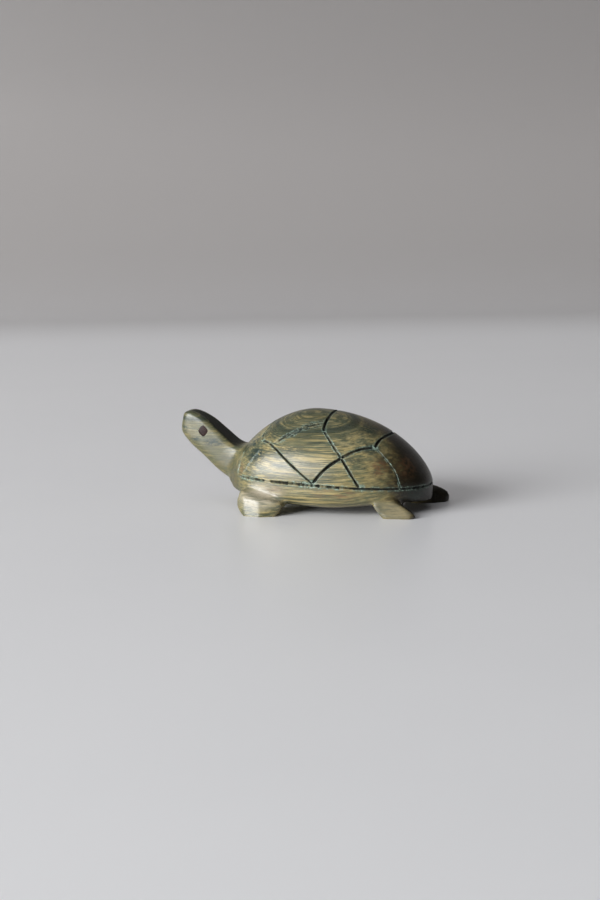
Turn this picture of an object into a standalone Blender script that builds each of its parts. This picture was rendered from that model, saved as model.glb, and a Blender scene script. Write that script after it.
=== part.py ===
"""A small turtle carved from one piece of verawood, with two round inlaid eyes.

The turtle faces -X and stands on the XY plane, with its left side towards -Y and the origin in the middle
of its footprint. The shell, the chest and the neck with the head are balls stretched over a few sections,
and the four legs are blocks with flat faces. They are joined and softened as sanding would, the soles are
cut flat, and the lines of the shell and the eye sockets are cut last.

Sizes are in millimetres and MM turns them into metres.
"""

import bmesh
import bpy
from math import cos, pi, radians, sin, sqrt
from mathutils import Matrix, Vector

MM = 0.001
LEFT = -1.0
RIGHT = 1.0

# Shell: an oval seen from above, widest behind the middle, with a domed back and a nearly flat belly.
SHELL_FRONT_X = -25.5
SHELL_REAR_X = 41.8
SHELL_WIDEST_X = 10.1
SHELL_HALF_WIDTH = 20.5
OUTLINE_POWER_FRONT = 2.8
OUTLINE_POWER_REAR = 2.15
RIM_HEIGHT = 10.65
RIM_SLOPE = -0.048
DOME_TOP_X = 3.5
DOME_HEIGHT = 21.95
DOME_FRONT_POWERS = (1.8, 0.72)
DOME_REAR_POWERS = (2.2, 0.68)
BELLY_SECTION_POWER = 4.5
# How far the belly reaches under the rim, at even steps from the front of the shell to its rear.
BELLY_DEPTHS = (5.8, 7.6, 8.3, 8.6, 8.3, 7.0, 5.5, 5.2)

# Sections of the other parts: centre (x, y, z), half width, half thickness, and the tilt of the section
# in degrees, 0 for a section that stands upright across the X axis.
CHEST = (
    (-10.0, 0.0, 10.2, 12.0, 5.6, 0.0),
    (-18.0, 0.0, 10.5, 12.4, 6.0, 0.0),
    (-26.5, 0.0, 11.2, 10.6, 5.4, 8.0),
)
NECK_AND_HEAD = (
    (-13.0, 0.0, 11.8, 7.0, 6.8, 0.0),
    (-21.5, 0.0, 13.4, 7.2, 6.6, 24.0),
    (-27.5, 0.0, 15.6, 5.8, 5.65, 37.0),
    (-32.7, 0.0, 19.95, 5.3, 5.4, 38.0),
    (-37.1, 0.0, 23.55, 4.9, 5.45, 31.0),
    (-40.9, 0.0, 26.1, 4.3, 4.9, 18.0),
    (-43.6, 0.0, 27.2, 3.7, 3.9, 10.0),
)

# How square the sections are on top and underneath, then how blunt the ends are: 2 gives an ellipse, and
# more a rounded box.
CHEST_POWERS = (2.4, 2.4, 2.6)
NECK_POWERS = (6.0, 3.2, 6.0)

# Legs, given for the left side: the corners (x, y, z) of the block that each is cut from.
FRONT_LEG = (
    (-17.9, -19.5, 7.9),
    (-19.1, -19.5, 4.4),
    (-18.4, -21.3, 2.4),
    (-17.2, -22.6, 1.2),
    (-15.4, -23.7, -0.4),
    (-15.8, -22.5, 6.1),
    (-10.5, -23.5, 5.5),
    (-14.2, -24.2, -0.8),
    (-10.0, -25.0, -0.8),
    (-5.2, -22.9, -0.8),
    (-4.6, -22.9, 4.7),
    (-2.7, -22.3, 4.1),
    (-2.2, -18.0, 4.1),
    (-6.0, -18.0, -0.8),
    (-8.0, -13.5, -0.8),
    (-15.0, -14.0, -0.8),
    (-16.5, -18.0, -0.8),
    (-15.5, -13.0, 8.0),
    (-9.7, -15.0, 5.4),
    (-3.5, -13.0, 3.8),
)
LEFT_HIND_LEG = (
    (26.5, -17.9, 4.1),
    (27.5, -18.5, 2.7),
    (29.0, -19.1, 1.3),
    (30.7, -19.3, 0.3),
    (32.5, -19.1, 0.1),
    (35.8, -18.8, 0.1),
    (39.0, -18.4, 0.2),
    (40.3, -16.6, 0.2),
    (30.9, -18.7, -0.8),
    (32.5, -18.5, -0.8),
    (35.8, -18.2, -0.8),
    (38.8, -17.6, -0.8),
    (39.8, -15.8, -0.8),
    (39.6, -12.5, -0.8),
    (33.0, -16.5, 5.4),
    (35.5, -16.8, 4.2),
    (37.3, -17.1, 3.2),
    (39.0, -17.4, 2.2),
    (40.6, -17.2, 1.2),
    (27.1, -17.0, 5.9),
    (31.0, -16.5, 5.9),
    (25.0, -10.0, 6.5),
    (32.0, -10.0, 5.0),
    (34.0, -10.5, 2.6),
    (28.5, -12.0, -0.8),
    (31.0, -10.0, -0.8),
    (36.0, -9.6, -0.8),
    (39.0, -11.0, -0.8),
)
RIGHT_HIND_LEG = (
    (30.5, -12.0, -0.8),
    (31.0, -17.0, -0.8),
    (34.0, -19.5, -0.8),
    (39.0, -19.8, -0.8),
    (42.2, -18.6, -0.8),
    (43.8, -16.2, -0.8),
    (43.4, -13.2, -0.8),
    (40.0, -10.5, -0.8),
    (34.0, -9.5, -0.8),
    (38.2, -14.2, 5.5),
    (40.2, -15.0, 5.2),
    (42.3, -15.6, 4.2),
    (43.7, -16.0, 3.2),
    (44.3, -16.0, 1.9),
    (34.0, -18.6, 4.0),
    (38.5, -18.8, 3.4),
    (42.0, -18.0, 2.7),
    (38.5, -11.0, 4.5),
    (42.8, -13.4, 2.5),
    (26.0, -10.0, 7.0),
    (27.0, -14.8, 7.0),
    (32.0, -14.2, 7.2),
    (34.0, -11.0, 6.8),
)

# Softening of the joints, and how finely the solid is faceted.
GRAIN_SIZE = 0.5
SANDING_PASSES = 6
KEPT_FACES = 0.05

# Lines of the shell. A point is (x, angle): its place along the shell, and the angle in degrees up the
# dome from the rim, 0, to the ridge, 90.
GROOVE_RADIUS = 0.5
SCORE_RADIUS = 0.34
GROOVE_PROUD = 0.06
FRONT_NODE = (-11.9, 47.0)
RIM_NODE = (7.1, 1.5)
MIDDLE_NODE = (9.2, 51.0)
CROSSING = (16.3, 27.0)
RIM_NODE_REAR = (22.5, 1.0)
REAR_NODE = (26.1, 48.0)
RIM_NODE_LAST = (34.9, 1.0)
GROOVES = (
    (FRONT_NODE, (-1.7, 19.6), RIM_NODE),
    (RIM_NODE, (11.4, 15.4), CROSSING, (21.8, 40.0), REAR_NODE),
    (MIDDLE_NODE, (12.7, 38.8), CROSSING, (19.5, 14.5), RIM_NODE_REAR),
    (REAR_NODE, (29.5, 39.9), (33.0, 25.8), RIM_NODE_LAST),
    ((-7.5, 37.7), (-3.9, 43.0), (2.9, 53.3), (8.8, 61.0)),
)
SCORES = (
    ((-12.3, 34.0), (-15.1, 22.7), (-17.8, 7.0)),
    ((-18.9, 50.0), (-19.7, 27.0), (-20.4, 2.0)),
)
CROSS_GROOVES = (
    (FRONT_NODE, (-12.4, 57.5), (-10.9, 72.0), (-10.6, 90.0)),
    (MIDDLE_NODE, (8.8, 60.0), (9.2, 74.0), (9.4, 90.0)),
    (REAR_NODE, (26.8, 61.5), (27.9, 74.0), (28.6, 90.0)),
)
RIM_GROOVE_START_X = -20.4
RIM_STATIONS = 30

# Eyes: round pegs let into the flat sides of the head.
EYE_X = -35.4
EYE_Z = 24.6
EYE_RADIUS = 1.65
EYE_FACE_Y = 4.75
EYE_LENGTH = 1.6
EYE_EDGE = 0.25
EYE_SEGMENTS = 24
SOCKET_GAP = 0.3

WOOD_COLOUR = (0.17, 0.16, 0.085, 1.0)
WOOD_ROUGHNESS = 0.36
EYE_COLOUR = (0.045, 0.024, 0.022, 1.0)
EYE_ROUGHNESS = 0.22


def rim_height(x):
    return RIM_HEIGHT + RIM_SLOPE * x


def shell_half_width(x):
    if x < SHELL_WIDEST_X:
        reach = (SHELL_WIDEST_X - x) / (SHELL_WIDEST_X - SHELL_FRONT_X)
        power = OUTLINE_POWER_FRONT
    else:
        reach = (x - SHELL_WIDEST_X) / (SHELL_REAR_X - SHELL_WIDEST_X)
        power = OUTLINE_POWER_REAR
    return SHELL_HALF_WIDTH * max(0.0, 1.0 - reach**power) ** (1.0 / power)


def dome_height(x):
    if x < DOME_TOP_X:
        reach = (DOME_TOP_X - x) / (DOME_TOP_X - SHELL_FRONT_X)
        power, fall = DOME_FRONT_POWERS
    else:
        reach = (x - DOME_TOP_X) / (SHELL_REAR_X - DOME_TOP_X)
        power, fall = DOME_REAR_POWERS
    return DOME_HEIGHT * max(0.0, 1.0 - reach**power) ** fall


def belly_depth(x):
    reach = (x - SHELL_FRONT_X) / (SHELL_REAR_X - SHELL_FRONT_X)
    return blend([(depth,) for depth in BELLY_DEPTHS], min(max(reach, 0.0), 1.0))[0]


def dome_point(x, angle, side):
    """The point of the dome at x and an angle up from the rim, on the side given."""
    turn = radians(angle)
    y = side * shell_half_width(x) * cos(turn)
    return Vector((x, y, rim_height(x) + dome_height(x) * sin(turn)))


def dome_normal(x, angle, side):
    """The outward direction there, from two short steps along the surface."""
    step = 0.2
    along = dome_point(x + step, angle, side) - dome_point(x - step, angle, side)
    up = dome_point(x, angle + step, side) - dome_point(x, angle - step, side)
    return (up.cross(along) * side).normalized()


def signed_power(value, power):
    return abs(value) ** power if value > 0 else -(abs(value) ** power)


def shell_place(t, across, up):
    """Where a point of the unit ball goes on the shell: t along X, across and up in its section."""
    middle = (SHELL_FRONT_X + SHELL_REAR_X) / 2
    x = middle + t * (SHELL_REAR_X - SHELL_FRONT_X) / 2
    if up >= 0:
        return Vector((x, shell_half_width(x) * across, rim_height(x) + dome_height(x) * up))
    power = 2.0 / BELLY_SECTION_POWER
    y = shell_half_width(x) * signed_power(across, power)
    return Vector((x, y, rim_height(x) - belly_depth(x) * abs(up) ** power))


def blend(stations, t):
    """The sections read at t, from 0 to 1, on a smooth curve through all of them."""
    place = t * (len(stations) - 1)
    first = min(int(place), len(stations) - 2)
    s = place - first
    before, start, end, after = (
        stations[min(max(first + k, 0), len(stations) - 1)] for k in (-1, 0, 1, 2)
    )
    values = []
    for p0, p1, p2, p3 in zip(before, start, end, after):
        bend = (p2 - p0) * s + (2 * p0 - 5 * p1 + 4 * p2 - p3) * s * s + (3 * p1 - p0 - 3 * p2 + p3) * s**3
        values.append(p1 + bend / 2)
    return values


def end_rounding(t, power):
    """How far a section has closed at t, from -1 to 1: a high power gives blunt ends."""
    return max(0.0, 1.0 - abs(t) ** power) ** (1.0 / power)


def neck_place(stations, top_power, under_power, end_power):
    """A place function for a part along X whose sections tilt as it rises, boxier on top than underneath."""

    def place(t, across, up):
        x, y, z, half_width, half_thickness, tilt = blend(stations, (1 - t) / 2)
        close = end_rounding(t, end_power)
        power = 2.0 / (top_power if up > 0 else under_power)
        width = half_width * close * signed_power(across, power)
        height = half_thickness * close * signed_power(up, power)
        lean = radians(tilt)
        return Vector((x + height * sin(lean), y + width, z + height * cos(lean)))

    return place


def stretched_ball(name, place, collection, segments=48, rings=40):
    """A ball with its poles on the X axis, whose points are moved by place(t, across, up)."""
    mesh = bmesh.new()
    bmesh.ops.create_uvsphere(
        mesh, u_segments=segments, v_segments=rings, radius=1.0, matrix=Matrix.Rotation(pi / 2, 4, "Y")
    )
    for vert in mesh.verts:
        t, across, up = vert.co
        ring = sqrt(max(0.0, 1.0 - min(1.0, t * t)))
        if ring > 1e-5:
            across, up = across / ring, up / ring
        vert.co = place(t, across, up) * MM
    bmesh.ops.recalc_face_normals(mesh, faces=mesh.faces)
    return add_object(name, mesh, collection)


def cut_block(name, corners, side, collection):
    """The block with flat faces that has these corners, on the side given."""
    mesh = bmesh.new()
    for x, y, z in corners:
        mesh.verts.new(Vector((x, -side * y, z)) * MM)
    bmesh.ops.convex_hull(mesh, input=mesh.verts)
    loose = [vert for vert in mesh.verts if not vert.link_faces]
    bmesh.ops.delete(mesh, geom=loose, context="VERTS")
    bmesh.ops.recalc_face_normals(mesh, faces=mesh.faces)
    return add_object(name, mesh, collection)


def add_object(name, mesh, collection):
    data = bpy.data.meshes.new(name)
    mesh.to_mesh(data)
    mesh.free()
    thing = bpy.data.objects.new(name, data)
    collection.objects.link(thing)
    return thing


def add_material(thing, name, colour, roughness):
    material = bpy.data.materials.new(name)
    material.use_nodes = True
    shader = material.node_tree.nodes["Principled BSDF"]
    shader.inputs["Base Color"].default_value = colour
    shader.inputs["Roughness"].default_value = roughness
    shader.inputs["Metallic"].default_value = 0.0
    thing.data.materials.append(material)


def add_collection(name, parent):
    collection = bpy.data.collections.new(name)
    parent.children.link(collection)
    return collection


def hide_as_cutter(thing):
    thing.hide_render = True
    thing.display_type = "WIRE"


def add_boolean(thing, name, operation, collection):
    modifier = thing.modifiers.new(name, "BOOLEAN")
    modifier.operation = operation
    modifier.solver = "EXACT"
    modifier.operand_type = "COLLECTION"
    modifier.collection = collection


def dome_line(points, side, per_span=2):
    """The places and outward directions along a line of the dome, smoothed between the points given."""
    count = (len(points) - 1) * per_span
    path = [blend(points, k / count) for k in range(count + 1)]
    return [(dome_point(x, angle, side), dome_normal(x, angle, side)) for x, angle in path]


def ridge_crossing(points):
    """A line over the ridge, from its left half."""
    mirrored = [(x, 180.0 - angle) for x, angle in reversed(points[:-1])]
    return dome_line(list(points) + mirrored, LEFT)


def rim_line():
    """The rim from the left shoulder round the rear to the right shoulder."""
    reach = SHELL_REAR_X - RIM_GROOVE_START_X
    places = []
    for k in range(RIM_STATIONS + 1):
        turn = pi * k / RIM_STATIONS
        x = RIM_GROOVE_START_X + reach * sin(turn)
        side = LEFT if k <= RIM_STATIONS / 2 else RIGHT
        places.append(Vector((x, side * shell_half_width(x), rim_height(x))))
    line = []
    for k, place in enumerate(places):
        along = places[min(k + 1, RIM_STATIONS)] - places[max(k - 1, 0)]
        line.append((place, Vector((along.y, -along.x, 0.0)).normalized()))
    return line


def groove_cutter(name, line, radius, collection):
    """A thin round bar along a line, with its middle just clear of the wood."""
    curve = bpy.data.curves.new(name, "CURVE")
    curve.dimensions = "3D"
    curve.bevel_depth = radius * MM
    curve.bevel_resolution = 1
    curve.use_fill_caps = True
    spline = curve.splines.new("POLY")
    spline.points.add(len(line) - 1)
    for point, (place, outward) in zip(spline.points, line):
        point.co = (*((place + outward * GROOVE_PROUD) * MM), 1.0)
    bar = bpy.data.objects.new(name, curve)
    collection.objects.link(bar)
    return curve_to_mesh(bar, collection)


def curve_to_mesh(bar, collection):
    """The same bar as a closed mesh, with its caps welded on."""
    depsgraph = bpy.context.evaluated_depsgraph_get()
    data = bpy.data.meshes.new_from_object(bar.evaluated_get(depsgraph))
    mesh = bmesh.new()
    mesh.from_mesh(data)
    bmesh.ops.remove_doubles(mesh, verts=mesh.verts, dist=0.00001)
    mesh.to_mesh(data)
    mesh.free()
    solid = bpy.data.objects.new(bar.name + "_solid", data)
    solid.matrix_world = bar.matrix_world
    collection.objects.link(solid)
    bpy.data.objects.remove(bar)
    hide_as_cutter(solid)
    return solid


def make_body_parts(collection):
    """The stretched balls that the carving is made of; the first one carries the modifiers."""
    shell = stretched_ball("carved_turtle", shell_place, collection, segments=96, rings=72)
    others = add_collection("joined_parts", collection)
    stretched_ball("chest", neck_place(CHEST, *CHEST_POWERS), others)
    stretched_ball("neck_and_head", neck_place(NECK_AND_HEAD, *NECK_POWERS), others, 64, 64)
    cut_block("front_leg_left", FRONT_LEG, LEFT, others)
    cut_block("front_leg_right", FRONT_LEG, RIGHT, others)
    cut_block("hind_leg_left", LEFT_HIND_LEG, LEFT, others)
    cut_block("hind_leg_right", RIGHT_HIND_LEG, RIGHT, others)
    for thing in others.objects:
        hide_as_cutter(thing)
    return shell, others


def make_groove_cutters(collection):
    for side, word in ((LEFT, "left"), (RIGHT, "right")):
        for number, points in enumerate(GROOVES):
            groove_cutter(f"groove_{word}_{number}", dome_line(points, side), GROOVE_RADIUS, collection)
        for number, points in enumerate(SCORES):
            groove_cutter(f"score_{word}_{number}", dome_line(points, side), SCORE_RADIUS, collection)
    for number, points in enumerate(CROSS_GROOVES):
        groove_cutter(f"cross_groove_{number}", ridge_crossing(points), GROOVE_RADIUS, collection)
    groove_cutter("groove_rim", rim_line(), GROOVE_RADIUS, collection)


def make_floor_cutter(collection):
    """A slab under the floor plane, which cuts the soles flat."""
    mesh = bmesh.new()
    size = Matrix.Diagonal((0.12, 0.08, 0.01, 1.0))
    bmesh.ops.create_cube(mesh, size=1.0, matrix=Matrix.Translation((0.0, 0.0, -0.005)) @ size)
    hide_as_cutter(add_object("floor_cutter", mesh, collection))


def eye_cylinder(name, side, radius, inner_y, outer_y, collection):
    """A round bar across the head, between two distances from its middle."""
    mesh = bmesh.new()
    place = Matrix.Translation(Vector((EYE_X, side * (inner_y + outer_y) / 2, EYE_Z)) * MM)
    bmesh.ops.create_cone(
        mesh,
        cap_ends=True,
        segments=EYE_SEGMENTS,
        radius1=radius * MM,
        radius2=radius * MM,
        depth=(outer_y - inner_y) * MM,
        matrix=place @ Matrix.Rotation(pi / 2, 4, "X"),
    )
    return add_object(name, mesh, collection)


def make_eyes(collection, socket_cutters):
    for side, word in ((LEFT, "left"), (RIGHT, "right")):
        inner_y = EYE_FACE_Y - EYE_LENGTH
        eye = eye_cylinder("eye_" + word, side, EYE_RADIUS, inner_y, EYE_FACE_Y, collection)
        edge = eye.modifiers.new("polished_edge", "BEVEL")
        edge.width = EYE_EDGE * MM
        edge.segments = 2
        edge.limit_method = "ANGLE"
        eye.data.shade_smooth()
        eye.data.set_sharp_from_angle(angle=radians(40))
        add_material(eye, "inlay_" + word, EYE_COLOUR, EYE_ROUGHNESS)
        socket_radius = EYE_RADIUS + SOCKET_GAP
        socket_end = inner_y - SOCKET_GAP
        socket = eye_cylinder("socket_" + word, side, socket_radius, socket_end, 9.0, socket_cutters)
        hide_as_cutter(socket)


def carve(turtle, joined_parts, floor_cutters, groove_cutters, socket_cutters):
    """The order of work: join, sand, flatten the soles, cut the lines, drill the sockets."""
    add_boolean(turtle, "join", "UNION", joined_parts)
    grain = turtle.modifiers.new("even_grain", "REMESH")
    grain.mode = "VOXEL"
    grain.voxel_size = GRAIN_SIZE * MM
    sanding = turtle.modifiers.new("sanding", "SMOOTH")
    sanding.factor = 0.5
    sanding.iterations = SANDING_PASSES
    facets = turtle.modifiers.new("facets", "DECIMATE")
    facets.ratio = KEPT_FACES
    add_boolean(turtle, "flat_soles", "DIFFERENCE", floor_cutters)
    add_boolean(turtle, "shell_lines", "DIFFERENCE", groove_cutters)
    add_boolean(turtle, "eye_sockets", "DIFFERENCE", socket_cutters)
    turtle.data.shade_smooth()
    turtle.data.set_sharp_from_angle(angle=radians(35))
    add_material(turtle, "polished_verawood", WOOD_COLOUR, WOOD_ROUGHNESS)


def main():
    for thing in list(bpy.data.objects):
        bpy.data.objects.remove(thing)
    scene_collection = bpy.context.scene.collection
    parts = add_collection("carved_turtle", scene_collection)
    cutters = add_collection("cutters", scene_collection)
    floor_cutters = add_collection("floor_cutters", cutters)
    groove_cutters = add_collection("groove_cutters", cutters)
    socket_cutters = add_collection("socket_cutters", cutters)
    turtle, joined_parts = make_body_parts(parts)
    make_floor_cutter(floor_cutters)
    make_groove_cutters(groove_cutters)
    make_eyes(parts, socket_cutters)
    carve(turtle, joined_parts, floor_cutters, groove_cutters, socket_cutters)


main()
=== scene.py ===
"""A small turtle carved from one piece of verawood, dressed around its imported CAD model.

The carving is built again from the forms of the CAD model, joined and sanded more finely. Then its lines are
cut with the roughness of a hand tool: uneven width and depth, chipped corners and lifted fibres. Two inlaid
eyes fill the sockets of the head.

Sizes are in millimetres and MM turns them into metres.
"""

from math import cos, pi, radians, sin, sqrt

import bmesh
import bpy
import numpy as np
from mathutils import Matrix, Vector, noise


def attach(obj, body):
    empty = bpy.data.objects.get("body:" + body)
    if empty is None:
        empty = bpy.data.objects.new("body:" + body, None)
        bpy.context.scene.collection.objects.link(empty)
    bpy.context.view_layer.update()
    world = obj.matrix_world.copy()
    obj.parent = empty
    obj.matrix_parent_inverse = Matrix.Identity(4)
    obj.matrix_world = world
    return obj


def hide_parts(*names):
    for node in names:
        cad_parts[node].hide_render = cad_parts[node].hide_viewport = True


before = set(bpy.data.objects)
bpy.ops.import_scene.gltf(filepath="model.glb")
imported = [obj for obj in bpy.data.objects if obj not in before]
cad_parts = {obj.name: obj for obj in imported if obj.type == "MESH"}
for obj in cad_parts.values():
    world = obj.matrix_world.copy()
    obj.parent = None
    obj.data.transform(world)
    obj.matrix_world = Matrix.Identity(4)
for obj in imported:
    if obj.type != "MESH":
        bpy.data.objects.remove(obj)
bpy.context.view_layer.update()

MM = 0.001
LEFT = -1.0
RIGHT = 1.0

# Camera: the photograph's place, direction and lens.
CAMERA_PLACE = (201.766, -668.069, 135.093)
CAMERA_PITCH = 9.4876
CAMERA_YAW = 17.0440
CAMERA_ROLL = 1.0
CAMERA_LENS = 85.0
CAMERA_SENSOR = 36.0

# Shell: an oval seen from above, widest behind the middle, with a domed back and a nearly flat belly.
SHELL_FRONT_X = -25.5
SHELL_REAR_X = 41.8
SHELL_WIDEST_X = 10.1
SHELL_HALF_WIDTH = 20.5
OUTLINE_POWER_FRONT = 2.8
OUTLINE_POWER_REAR = 2.15
RIM_HEIGHT = 10.65
RIM_SLOPE = -0.048
DOME_TOP_X = 3.5
DOME_HEIGHT = 21.95
DOME_FRONT_POWERS = (1.8, 0.72)
DOME_REAR_POWERS = (2.2, 0.68)
BELLY_SECTION_POWER = 4.5
# How far the belly reaches under the rim, at even steps from the front of the shell to its rear.
BELLY_DEPTHS = (5.8, 7.6, 8.3, 8.6, 8.3, 7.0, 5.5, 5.2)

# Sections of the other parts: centre (x, y, z), half width, half thickness, and the tilt of the section.
CHEST = (
    (-10.0, 0.0, 10.2, 12.0, 5.6, 0.0),
    (-18.0, 0.0, 10.5, 12.4, 6.0, 0.0),
    (-26.5, 0.0, 11.2, 10.6, 5.4, 8.0),
)
NECK_AND_HEAD = (
    (-13.0, 0.0, 11.8, 7.0, 6.8, 0.0),
    (-21.5, 0.0, 13.4, 7.2, 6.6, 24.0),
    (-27.5, 0.0, 15.6, 5.8, 5.65, 37.0),
    (-32.7, 0.0, 19.95, 5.3, 5.4, 38.0),
    (-37.1, 0.0, 23.55, 4.9, 5.45, 31.0),
    (-40.9, 0.0, 26.1, 4.3, 4.9, 18.0),
    (-43.6, 0.0, 27.2, 3.7, 3.9, 10.0),
)
# How square the sections are on top and underneath, then how blunt the ends are: 2 gives an ellipse, and
# more a rounded box.
CHEST_POWERS = (2.4, 2.4, 2.6)
NECK_POWERS = (7.0, 3.2, 6.5)

# Legs, given for the left side: the corners (x, y, z) of the block that each is cut from.
FRONT_LEG = (
    (-17.9, -19.5, 7.9),
    (-19.1, -19.5, 4.4),
    (-18.4, -21.3, 2.4),
    (-17.2, -22.6, 1.2),
    (-15.4, -23.7, -0.4),
    (-15.8, -22.5, 6.1),
    (-10.5, -23.5, 5.5),
    (-14.2, -24.2, -0.8),
    (-10.0, -25.0, -0.8),
    (-5.2, -22.9, -0.8),
    (-4.6, -22.9, 4.7),
    (-2.7, -22.3, 4.1),
    (-2.2, -18.0, 4.1),
    (-6.0, -18.0, -0.8),
    (-8.0, -13.5, -0.8),
    (-15.0, -14.0, -0.8),
    (-16.5, -18.0, -0.8),
    (-15.5, -13.0, 8.0),
    (-9.7, -15.0, 5.4),
    (-3.5, -13.0, 3.8),
)
LEFT_HIND_LEG = (
    (26.5, -17.9, 4.1),
    (27.5, -18.5, 2.7),
    (29.0, -19.1, 1.3),
    (30.7, -19.3, 0.3),
    (32.5, -19.1, 0.1),
    (35.8, -18.8, 0.1),
    (39.0, -18.4, 0.2),
    (40.3, -16.6, 0.2),
    (30.9, -18.7, -0.8),
    (32.5, -18.5, -0.8),
    (35.8, -18.2, -0.8),
    (38.8, -17.6, -0.8),
    (39.8, -15.8, -0.8),
    (39.6, -12.5, -0.8),
    (33.0, -16.5, 5.4),
    (35.5, -16.8, 4.2),
    (37.3, -17.1, 3.2),
    (39.0, -17.4, 2.2),
    (40.6, -17.2, 1.2),
    (27.1, -17.0, 5.9),
    (31.0, -16.5, 5.9),
    (25.0, -10.0, 6.5),
    (32.0, -10.0, 5.0),
    (34.0, -10.5, 2.6),
    (28.5, -12.0, -0.8),
    (31.0, -10.0, -0.8),
    (36.0, -9.6, -0.8),
    (39.0, -11.0, -0.8),
)
RIGHT_HIND_LEG = (
    (30.5, -12.0, -0.8),
    (31.0, -17.0, -0.8),
    (34.0, -19.5, -0.8),
    (39.0, -19.8, -0.8),
    (42.2, -18.6, -0.8),
    (43.8, -16.2, -0.8),
    (43.4, -13.2, -0.8),
    (40.0, -10.5, -0.8),
    (34.0, -9.5, -0.8),
    (38.2, -14.2, 5.5),
    (40.2, -15.0, 5.2),
    (42.3, -15.6, 4.2),
    (43.7, -16.0, 3.2),
    (44.3, -16.0, 1.9),
    (34.0, -18.6, 4.0),
    (38.5, -18.8, 3.4),
    (42.0, -18.0, 2.7),
    (38.5, -11.0, 4.5),
    (42.8, -13.4, 2.5),
    (26.0, -10.0, 7.0),
    (27.0, -14.8, 7.0),
    (32.0, -14.2, 7.2),
    (34.0, -11.0, 6.8),
)

# How finely the joined wood is rebuilt, and how it is sanded.
GRAIN_SIZE = 0.62
SANDING_STRENGTH = 0.5
SANDING_PASSES = 2
# How often and how much its hollows are filled, and the heights between which that sets in.
HOLLOW_PASSES = 30
HOLLOW_STRENGTH = 0.5
HOLLOW_HEIGHTS = (3.5, 5.5)
# The slab that cuts the soles flat: its length, width and thickness.
FLOOR_SLAB = (120.0, 80.0, 10.0)
# How near a line the wood's faces are split once, and then again.
SPLIT_REACHES = (1.45, 0.85)
# The edges of the pieces stay crisp where their faces meet at more than this angle.
CRISP_ANGLE = 42.0

# Lines of the shell. A point is (x, angle): its place along the shell, and the angle in degrees up the
# dome from the rim, 0, to the ridge, 90.
FRONT_NODE = (-11.9, 47.0)
RIM_NODE = (7.1, 1.5)
MIDDLE_NODE = (9.2, 51.0)
CROSSING = (16.3, 27.0)
RIM_NODE_REAR = (22.5, 1.0)
REAR_NODE = (26.1, 48.0)
RIM_NODE_LAST = (34.9, 1.0)
# The hand of each line: half width, depth, how dark its bottom is, how pale its torn edges are, how rough
# it is, and how often it breaks off.
DEEP_CUT = (0.56, 0.95, 1.00, 0.60, 0.35, 0.0)
FIRM_CUT = (0.46, 0.80, 1.00, 0.75, 0.45, 0.10)
CLEAN_CUT = (0.37, 0.68, 1.00, 0.75, 0.45, 0.15)
TORN_CUT = (0.42, 0.44, 0.85, 1.00, 0.60, 0.45)
SOFT_CUT = (0.40, 0.36, 0.55, 0.60, 0.60, 0.30)
SCRATCH = (0.24, 0.24, 0.40, 1.00, 0.30, 0.25)
FAINT_SCRATCH = (0.22, 0.16, 0.12, 0.90, 0.30, 0.35)
GOUGE = (0.50, 0.30, 0.85, 0.60, 1.00, 0.55)
FEATHER = (0.32, 0.22, 0.80, 0.65, 1.00, 0.75)
SIDE_LINES = (
    ((FRONT_NODE, (-8.5, 38.5)), TORN_CUT),
    (((-9.0, 39.8), (-1.7, 19.6), RIM_NODE), CLEAN_CUT),
    ((RIM_NODE, (11.4, 15.4), CROSSING), DEEP_CUT),
    ((CROSSING, (21.8, 40.0), REAR_NODE), DEEP_CUT),
    ((MIDDLE_NODE, (12.7, 38.8), CROSSING), TORN_CUT),
    ((CROSSING, (19.5, 14.5), RIM_NODE_REAR), FIRM_CUT),
    ((REAR_NODE, (29.5, 39.9), (33.0, 25.8), RIM_NODE_LAST), SCRATCH),
    (((-12.3, 34.0), (-15.1, 22.7), (-17.8, 7.0)), FAINT_SCRATCH),
    (((-18.9, 50.0), (-19.7, 27.0), (-20.4, 2.0)), FAINT_SCRATCH),
    (((-7.5, 37.7), (-3.9, 43.0), (2.9, 53.3), (8.8, 61.0)), GOUGE),
    (((-5.4, 42.5), (0.3, 51.2), (5.9, 60.6)), FEATHER),
    (((-0.8, 45.9), (3.6, 51.5), (8.9, 57.4)), FEATHER),
    (((-6.2, 38.6), (-4.4, 39.6), (-2.4, 44.5)), FEATHER),
    (((1.2, 54.5), (4.0, 58.8), (8.2, 63.6)), FEATHER),
    (((-3.0, 43.0), (-0.6, 44.6), (1.8, 50.0)), FEATHER),
)
CROSS_LINES = (
    ((FRONT_NODE, (-12.4, 57.5), (-10.9, 72.0), (-10.6, 90.0)), SOFT_CUT),
    ((MIDDLE_NODE, (8.8, 60.0), (9.2, 74.0), (9.4, 90.0)), DEEP_CUT),
    ((REAR_NODE, (26.8, 61.5), (27.9, 74.0), (28.6, 90.0)), DEEP_CUT),
)
# The rim line was cut in several goes, each from one place along the shell to the next.
RIM_CUTS = (
    (-19.4, -9.4, (0.46, 0.50, 0.90, 1.00, 0.90, 0.60)),
    (-7.6, -0.8, (0.54, 0.95, 1.00, 0.60, 0.45, 0.05)),
    (-1.2, 17.8, (0.50, 0.75, 1.00, 1.00, 0.85, 0.55)),
    (17.4, 34.8, (0.42, 0.80, 1.00, 0.65, 0.50, 0.12)),
    (34.4, 41.8, (0.44, 0.50, 0.95, 0.75, 0.70, 0.55)),
)
# How finely the lines are drawn: steps along the rim, steps from one point of a line to the next, and then
# the distance between two points.
RIM_STATIONS = 60
SPAN_STEPS = 24
LINE_STEP = 0.25
# The lines that cross the back are shallower at its ridge: the part of their depth that is left there, and
# how far from the middle they start and end to deepen.
RIDGE_DEPTH = 0.30
RIDGE_REACH = (4.0, 9.5)

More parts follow.
